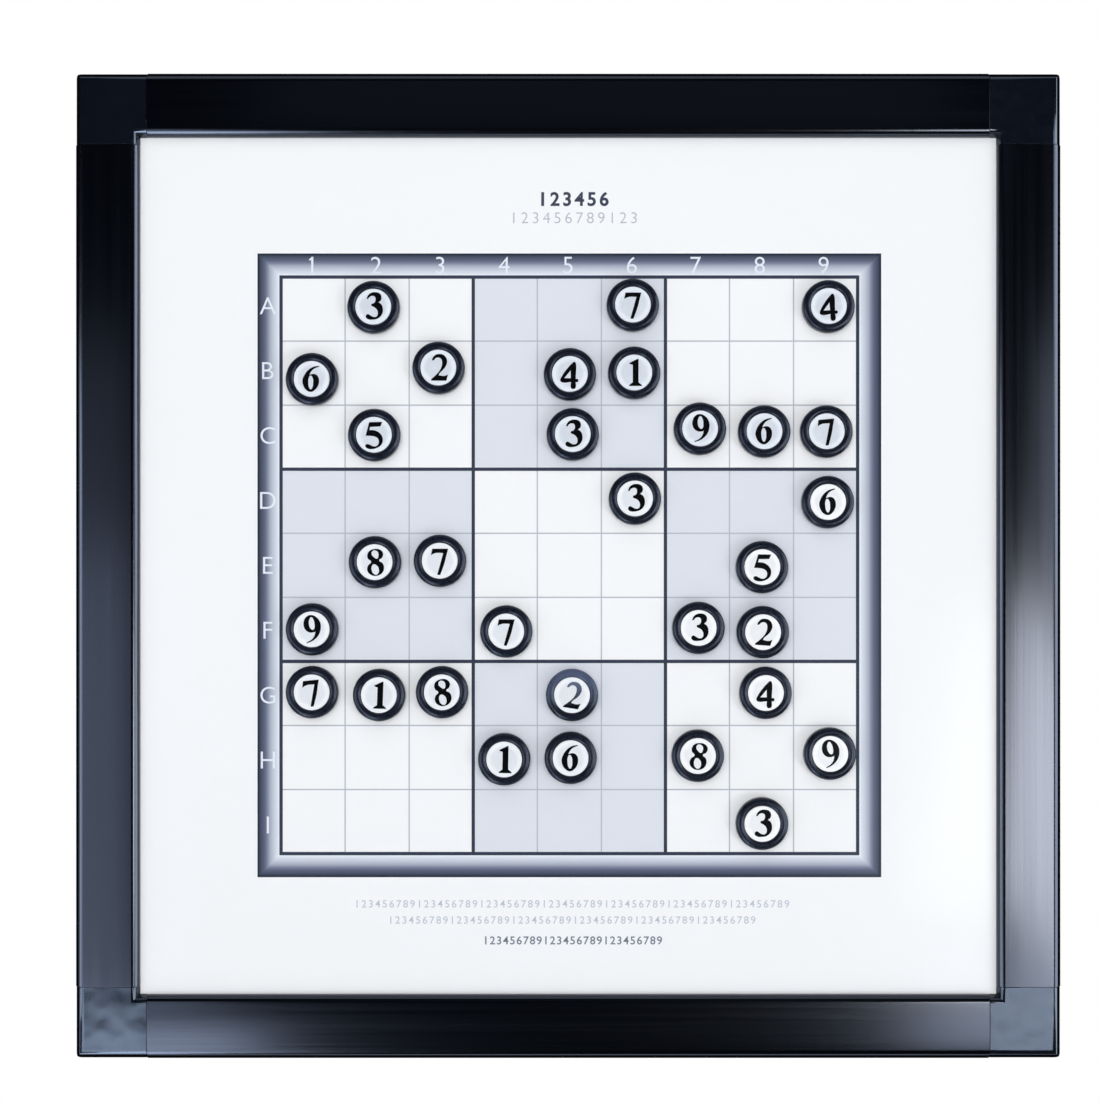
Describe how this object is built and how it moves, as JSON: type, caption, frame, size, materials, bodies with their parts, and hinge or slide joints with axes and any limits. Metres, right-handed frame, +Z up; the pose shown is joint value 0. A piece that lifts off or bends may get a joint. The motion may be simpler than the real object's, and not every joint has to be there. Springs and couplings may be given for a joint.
{
  "type": "magnetic sudoku board",
  "caption": "Framed magnetic wall board with a printed number grid on its white steel sheet, and loose round number pieces that magnets hold there.",
  "frame": {"origin": "middle of the top rail's upper back flange, in the wall plane, where a wall hook carries the board", "axes": "+Z up the wall, +Y into the wall, so the board's face looks along -Y, +X to the right of someone facing the board"},
  "size_m": [0.7, 0.0215, 0.7],
  "materials": {
    "frame_aluminium": "black anodised, satin, fine lengthwise lines",
    "corner_plastic": "black moulded, satin",
    "white_lacquer": "glossy white lacquer with a printed grid",
    "fibre_core": "light fibre board",
    "galvanised_steel": "galvanised",
    "screw_steel": "zinc plated",
    "piece_plastic": "black ring with a white number disc"
  },
  "bodies": {
    "board": {"top_rail": "frame_aluminium", "bottom_rail": "frame_aluminium", "left_rail": "frame_aluminium", "right_rail": "frame_aluminium", "corner_top_left": "corner_plastic", "corner_top_right": "corner_plastic", "corner_bottom_left": "corner_plastic", "corner_bottom_right": "corner_plastic", "face_sheet": "white_lacquer", "core_board": "fibre_core", "back_sheet": "galvanised_steel", "screw_top_rail_left": "screw_steel", "screw_top_rail_right": "screw_steel", "screw_bottom_rail_left": "screw_steel", "screw_bottom_rail_right": "screw_steel", "screw_left_rail_top": "screw_steel", "screw_left_rail_bottom": "screw_steel", "screw_right_rail_top": "screw_steel", "screw_right_rail_bottom": "screw_steel"},
    "piece_a2": {"piece_a2_number_3": "piece_plastic"},
    "piece_a6": {"piece_a6_number_7": "piece_plastic"},
    "piece_a9": {"piece_a9_number_4": "piece_plastic"},
    "piece_b1": {"piece_b1_number_6": "piece_plastic"},
    "piece_b3": {"piece_b3_number_2": "piece_plastic"},
    "piece_b5": {"piece_b5_number_4": "piece_plastic"},
    "piece_b6": {"piece_b6_number_1": "piece_plastic"},
    "piece_c2": {"piece_c2_number_5": "piece_plastic"},
    "piece_c5": {"piece_c5_number_3": "piece_plastic"},
    "piece_c7": {"piece_c7_number_9": "piece_plastic"},
    "piece_c8": {"piece_c8_number_6": "piece_plastic"},
    "piece_c9": {"piece_c9_number_7": "piece_plastic"},
    "piece_d6": {"piece_d6_number_3": "piece_plastic"},
    "piece_d9": {"piece_d9_number_6": "piece_plastic"},
    "piece_e2": {"piece_e2_number_8": "piece_plastic"},
    "piece_e3": {"piece_e3_number_7": "piece_plastic"},
    "piece_e8": {"piece_e8_number_5": "piece_plastic"},
    "piece_f1": {"piece_f1_number_9": "piece_plastic"},
    "piece_f4": {"piece_f4_number_7": "piece_plastic"},
    "piece_f7": {"piece_f7_number_3": "piece_plastic"},
    "piece_f8": {"piece_f8_number_2": "piece_plastic"},
    "piece_g1": {"piece_g1_number_7": "piece_plastic"},
    "piece_g2": {"piece_g2_number_1": "piece_plastic"},
    "piece_g3": {"piece_g3_number_8": "piece_plastic"},
    "piece_g5": {"piece_g5_number_2": "piece_plastic"},
    "piece_g8": {"piece_g8_number_4": "piece_plastic"},
    "piece_h4": {"piece_h4_number_1": "piece_plastic"},
    "piece_h5": {"piece_h5_number_6": "piece_plastic"},
    "piece_h7": {"piece_h7_number_8": "piece_plastic"},
    "piece_h9": {"piece_h9_number_9": "piece_plastic"},
    "piece_i8": {"piece_i8_number_3": "piece_plastic"}
  },
  "joints": [
    {"name": "lift_a2", "type": "slide", "parent": "board", "child": "piece_a2", "axis": [0, -1, 0], "range_m": [0, 0.03]},
    {"name": "lift_a6", "type": "slide", "parent": "board", "child": "piece_a6", "axis": [0, -1, 0], "range_m": [0, 0.03]},
    {"name": "lift_a9", "type": "slide", "parent": "board", "child": "piece_a9", "axis": [0, -1, 0], "range_m": [0, 0.03]},
    {"name": "lift_b1", "type": "slide", "parent": "board", "child": "piece_b1", "axis": [0, -1, 0], "range_m": [0, 0.03]},
    {"name": "lift_b3", "type": "slide", "parent": "board", "child": "piece_b3", "axis": [0, -1, 0], "range_m": [0, 0.03]},
    {"name": "lift_b5", "type": "slide", "parent": "board", "child": "piece_b5", "axis": [0, -1, 0], "range_m": [0, 0.03]},
    {"name": "lift_b6", "type": "slide", "parent": "board", "child": "piece_b6", "axis": [0, -1, 0], "range_m": [0, 0.03]},
    {"name": "lift_c2", "type": "slide", "parent": "board", "child": "piece_c2", "axis": [0, -1, 0], "range_m": [0, 0.03]},
    {"name": "lift_c5", "type": "slide", "parent": "board", "child": "piece_c5", "axis": [0, -1, 0], "range_m": [0, 0.03]},
    {"name": "lift_c7", "type": "slide", "parent": "board", "child": "piece_c7", "axis": [0, -1, 0], "range_m": [0, 0.03]},
    {"name": "lift_c8", "type": "slide", "parent": "board", "child": "piece_c8", "axis": [0, -1, 0], "range_m": [0, 0.03]},
    {"name": "lift_c9", "type": "slide", "parent": "board", "child": "piece_c9", "axis": [0, -1, 0], "range_m": [0, 0.03]},
    {"name": "lift_d6", "type": "slide", "parent": "board", "child": "piece_d6", "axis": [0, -1, 0], "range_m": [0, 0.03]},
    {"name": "lift_d9", "type": "slide", "parent": "board", "child": "piece_d9", "axis": [0, -1, 0], "range_m": [0, 0.03]},
    {"name": "lift_e2", "type": "slide", "parent": "board", "child": "piece_e2", "axis": [0, -1, 0], "range_m": [0, 0.03]},
    {"name": "lift_e3", "type": "slide", "parent": "board", "child": "piece_e3", "axis": [0, -1, 0], "range_m": [0, 0.03]},
    {"name": "lift_e8", "type": "slide", "parent": "board", "child": "piece_e8", "axis": [0, -1, 0], "range_m": [0, 0.03]},
    {"name": "lift_f1", "type": "slide", "parent": "board", "child": "piece_f1", "axis": [0, -1, 0], "range_m": [0, 0.03]},
    {"name": "lift_f4", "type": "slide", "parent": "board", "child": "piece_f4", "axis": [0, -1, 0], "range_m": [0, 0.03]},
    {"name": "lift_f7", "type": "slide", "parent": "board", "child": "piece_f7", "axis": [0, -1, 0], "range_m": [0, 0.03]},
    {"name": "lift_f8", "type": "slide", "parent": "board", "child": "piece_f8", "axis": [0, -1, 0], "range_m": [0, 0.03]},
    {"name": "lift_g1", "type": "slide", "parent": "board", "child": "piece_g1", "axis": [0, -1, 0], "range_m": [0, 0.03]},
    {"name": "lift_g2", "type": "slide", "parent": "board", "child": "piece_g2", "axis": [0, -1, 0], "range_m": [0, 0.03]},
    {"name": "lift_g3", "type": "slide", "parent": "board", "child": "piece_g3", "axis": [0, -1, 0], "range_m": [0, 0.03]},
    {"name": "lift_g5", "type": "slide", "parent": "board", "child": "piece_g5", "axis": [0, -1, 0], "range_m": [0, 0.03]},
    {"name": "lift_g8", "type": "slide", "parent": "board", "child": "piece_g8", "axis": [0, -1, 0], "range_m": [0, 0.03]},
    {"name": "lift_h4", "type": "slide", "parent": "board", "child": "piece_h4", "axis": [0, -1, 0], "range_m": [0, 0.03]},
    {"name": "lift_h5", "type": "slide", "parent": "board", "child": "piece_h5", "axis": [0, -1, 0], "range_m": [0, 0.03]},
    {"name": "lift_h7", "type": "slide", "parent": "board", "child": "piece_h7", "axis": [0, -1, 0], "range_m": [0, 0.03]},
    {"name": "lift_h9", "type": "slide", "parent": "board", "child": "piece_h9", "axis": [0, -1, 0], "range_m": [0, 0.03]},
    {"name": "lift_i8", "type": "slide", "parent": "board", "child": "piece_i8", "axis": [0, -1, 0], "range_m": [0, 0.03]}
  ]
}
